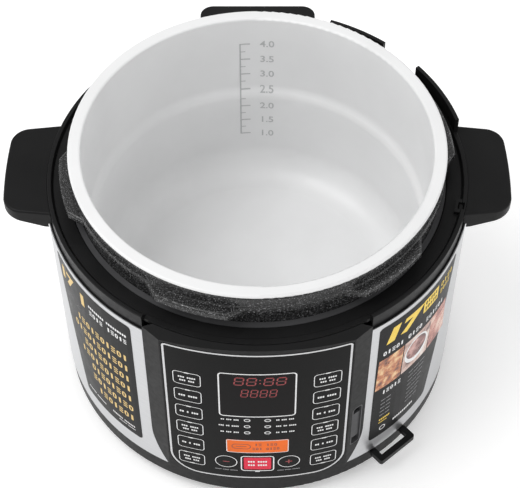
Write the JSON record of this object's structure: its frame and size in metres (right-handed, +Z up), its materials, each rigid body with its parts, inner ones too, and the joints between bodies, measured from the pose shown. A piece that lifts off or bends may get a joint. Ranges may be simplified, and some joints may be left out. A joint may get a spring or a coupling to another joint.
{
  "type": "electric pressure cooker",
  "caption": "Electric pressure cooker, lid off: round steel body, lugged outer pot, lift-out inner pot, side handles and a curved front control panel with sprung keys.",
  "frame": {"origin": "on the table, under the middle of the bounding box; the pot's axis stands 9.8 mm in front of it, at y = -0.0098", "axes": "+X to the right, along the two handles; +Y to the rear; +Z up, along the pot's axis"},
  "size_m": [0.323, 0.2904, 0.21],
  "materials": {
    "pot_coating": "satin white non-stick coating",
    "flange_paint": "black paint with fine silver flecks",
    "seal": "matte",
    "steel_sheet": "satin stainless steel",
    "zinc_sheet": "galvanised",
    "black_plastic": "fine matte texture",
    "dark_plastic": "satin",
    "gloss_black": "gloss",
    "key_black": "gloss",
    "key_orange": "gloss",
    "key_red": "gloss",
    "smoked_lens": "gloss smoked lens",
    "clear_pipe": "clear acrylic",
    "clear_cup": "translucent",
    "grey_plastic": "satin",
    "rubber": "matte",
    "steel": "zinc plated",
    "cast_aluminium": "as cast, face turned",
    "spring_steel": "spring steel",
    "brass": "nickel plated brass",
    "circuit_board": "solder mask",
    "component": "moulded",
    "module": "gloss",
    "wire_sleeve": "PVC insulation"
  },
  "bodies": {
    "cooker": {"outer_pot": "flange_paint", "ring_seal": "seal", "ring_screws": "steel", "heat_shield": "zinc_sheet", "outer_shell": "steel_sheet", "upper_ring": "black_plastic", "right_handle": "dark_plastic", "left_handle": "dark_plastic", "handle_screws": "steel", "base_tray": "dark_plastic", "feet": "rubber", "base_screws": "steel", "holder_loop": "dark_plastic", "holder_socket": "grey_plastic", "heating_plate": "cast_aluminium", "heater_terminals": "brass", "heater_fixings": "steel", "elastic_disc": "spring_steel", "switch_bracket": "zinc_sheet", "pressure_switch": "component", "thermal_cutoff": "steel", "sensor_guide": "zinc_sheet", "sensor_spring": "spring_steel", "control_housing": "dark_plastic", "control_fascia": "gloss_black", "display_window": "smoked_lens", "display_module": "module", "light_pipes": "clear_pipe", "control_board": "circuit_board", "tact_switches": "component", "board_screws": "steel", "power_board": "circuit_board", "power_board_parts": "component", "power_inlet": "black_plastic", "inlet_pins": "brass", "inlet_screws": "steel", "mains_wires": "wire_sleeve", "lid_plunger_spring": "spring_steel", "lid_switch_bracket": "zinc_sheet", "lid_microswitch": "component"},
    "inner_pot": {"inner_pot": "pot_coating"},
    "sensor": {"sensor_cap": "cast_aluminium"},
    "lid_plunger": {"lid_plunger": "dark_plastic"},
    "collector": {"condensate_collector": "clear_cup"},
    "key_left_1": {"key_left_1": "key_black"},
    "key_left_2": {"key_left_2": "key_black"},
    "key_left_3": {"key_left_3": "key_black"},
    "key_left_4": {"key_left_4": "key_black"},
    "key_left_5": {"key_left_5": "key_black"},
    "key_left_6": {"key_left_6": "key_black"},
    "key_right_1": {"key_right_1": "key_black"},
    "key_right_2": {"key_right_2": "key_black"},
    "key_right_3": {"key_right_3": "key_black"},
    "key_right_4": {"key_right_4": "key_black"},
    "key_right_5": {"key_right_5": "key_black"},
    "key_right_6": {"key_right_6": "key_black"},
    "key_program": {"key_program": "key_orange"},
    "key_start": {"key_start": "key_red"},
    "key_minus": {"key_minus": "key_black"},
    "key_plus": {"key_plus": "key_black"}
  },
  "joints": [
    {"name": "inner_pot_lift", "type": "slide", "parent": "cooker", "child": "inner_pot", "axis": [0, 0, 1], "range_m": [0, 0.165]},
    {"name": "sensor_press", "type": "slide", "parent": "cooker", "child": "sensor", "axis": [0, 0, -1], "range_m": [0, 0.003], "stiffness_N_per_m": 400, "springref_m": -0.003, "deforming": ["sensor_spring"]},
    {"name": "lid_plunger_press", "type": "slide", "parent": "cooker", "child": "lid_plunger", "axis": [0, 0, -1], "range_m": [0, 0.003], "stiffness_N_per_m": 300, "springref_m": -0.003, "deforming": ["lid_plunger_spring"]},
    {"name": "collector_slide", "type": "slide", "parent": "cooker", "child": "collector", "axis": [0, 1, 0], "range_m": [0, 0.03]},
    {"name": "key_left_1_press", "type": "slide", "parent": "cooker", "child": "key_left_1", "axis": [0, 1, 0], "range_m": [0, 0.0006], "stiffness_N_per_m": 2500},
    {"name": "key_left_2_press", "type": "slide", "parent": "cooker", "child": "key_left_2", "axis": [0, 1, 0], "range_m": [0, 0.0006], "stiffness_N_per_m": 2500},
    {"name": "key_left_3_press", "type": "slide", "parent": "cooker", "child": "key_left_3", "axis": [0, 1, 0], "range_m": [0, 0.0006], "stiffness_N_per_m": 2500},
    {"name": "key_left_4_press", "type": "slide", "parent": "cooker", "child": "key_left_4", "axis": [0, 1, 0], "range_m": [0, 0.0006], "stiffness_N_per_m": 2500},
    {"name": "key_left_5_press", "type": "slide", "parent": "cooker", "child": "key_left_5", "axis": [0, 1, 0], "range_m": [0, 0.0006], "stiffness_N_per_m": 2500},
    {"name": "key_left_6_press", "type": "slide", "parent": "cooker", "child": "key_left_6", "axis": [0, 1, 0], "range_m": [0, 0.0006], "stiffness_N_per_m": 2500},
    {"name": "key_right_1_press", "type": "slide", "parent": "cooker", "child": "key_right_1", "axis": [0, 1, 0], "range_m": [0, 0.0006], "stiffness_N_per_m": 2500},
    {"name": "key_right_2_press", "type": "slide", "parent": "cooker", "child": "key_right_2", "axis": [0, 1, 0], "range_m": [0, 0.0006], "stiffness_N_per_m": 2500},
    {"name": "key_right_3_press", "type": "slide", "parent": "cooker", "child": "key_right_3", "axis": [0, 1, 0], "range_m": [0, 0.0006], "stiffness_N_per_m": 2500},
    {"name": "key_right_4_press", "type": "slide", "parent": "cooker", "child": "key_right_4", "axis": [0, 1, 0], "range_m": [0, 0.0006], "stiffness_N_per_m": 2500},
    {"name": "key_right_5_press", "type": "slide", "parent": "cooker", "child": "key_right_5", "axis": [0, 1, 0], "range_m": [0, 0.0006], "stiffness_N_per_m": 2500},
    {"name": "key_right_6_press", "type": "slide", "parent": "cooker", "child": "key_right_6", "axis": [0, 1, 0], "range_m": [0, 0.0006], "stiffness_N_per_m": 2500},
    {"name": "key_program_press", "type": "slide", "parent": "cooker", "child": "key_program", "axis": [0, 1, 0], "range_m": [0, 0.0006], "stiffness_N_per_m": 2500},
    {"name": "key_start_press", "type": "slide", "parent": "cooker", "child": "key_start", "axis": [0, 1, 0], "range_m": [0, 0.0006], "stiffness_N_per_m": 2500},
    {"name": "key_minus_press", "type": "slide", "parent": "cooker", "child": "key_minus", "axis": [0, 1, 0], "range_m": [0, 0.0006], "stiffness_N_per_m": 2500},
    {"name": "key_plus_press", "type": "slide", "parent": "cooker", "child": "key_plus", "axis": [0, 1, 0], "range_m": [0, 0.0006], "stiffness_N_per_m": 2500}
  ]
}
